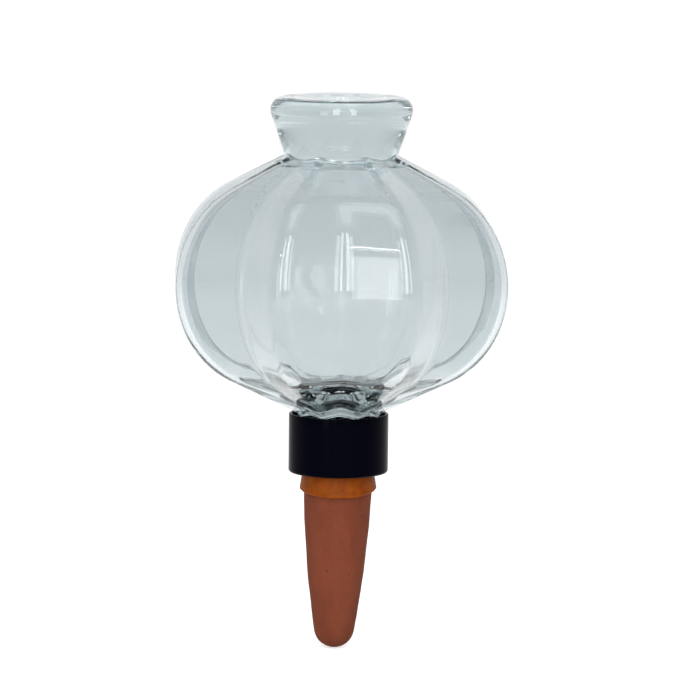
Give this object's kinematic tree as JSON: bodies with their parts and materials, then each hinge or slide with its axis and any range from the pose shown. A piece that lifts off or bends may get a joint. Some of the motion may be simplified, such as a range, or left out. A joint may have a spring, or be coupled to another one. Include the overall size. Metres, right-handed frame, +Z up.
{
  "type": "self watering spike",
  "caption": "Lobed clear glass water reservoir with a solid flared crown, screwed by its neck into a black cap that holds a hollow terracotta spike in a silicone sleeve.",
  "frame": {"origin": "on the cap's axis at the soil line, which is the underside of the screw cap", "axes": "+Z up along the cap's axis from the spike to the crown; -Y faces the picture's camera, with a valley of the bulb facing it"},
  "size_m": [0.1, 0.1, 0.1665],
  "materials": {
    "terracotta": "porous matte fired clay",
    "orange_silicone": "satin translucent silicone",
    "washer_rubber": "matte",
    "black_plastic": "high gloss",
    "clear_glass": "polished clear"
  },
  "bodies": {
    "spike_unit": {"terracotta_spike": "terracotta", "silicone_sleeve": "orange_silicone", "sealing_washer": "washer_rubber"},
    "bulb": {"glass_bulb": "clear_glass"},
    "cap": {"screw_cap": "black_plastic"}
  },
  "joints": [
    {"name": "bulb_lift", "type": "slide", "parent": "spike_unit", "child": "bulb", "axis": [0, 0, 1], "range_m": [0, 0.00525]},
    {"name": "cap_turn", "type": "hinge", "parent": "spike_unit", "child": "cap", "pos_m": [0, 0, 0], "axis": [0, 0, -1], "range_deg": [0, 450.5]}
  ],
  "couplings": [
    {"joint": "cap_turn", "follows": "bulb_lift", "rad_per_m": 1496}
  ]
}
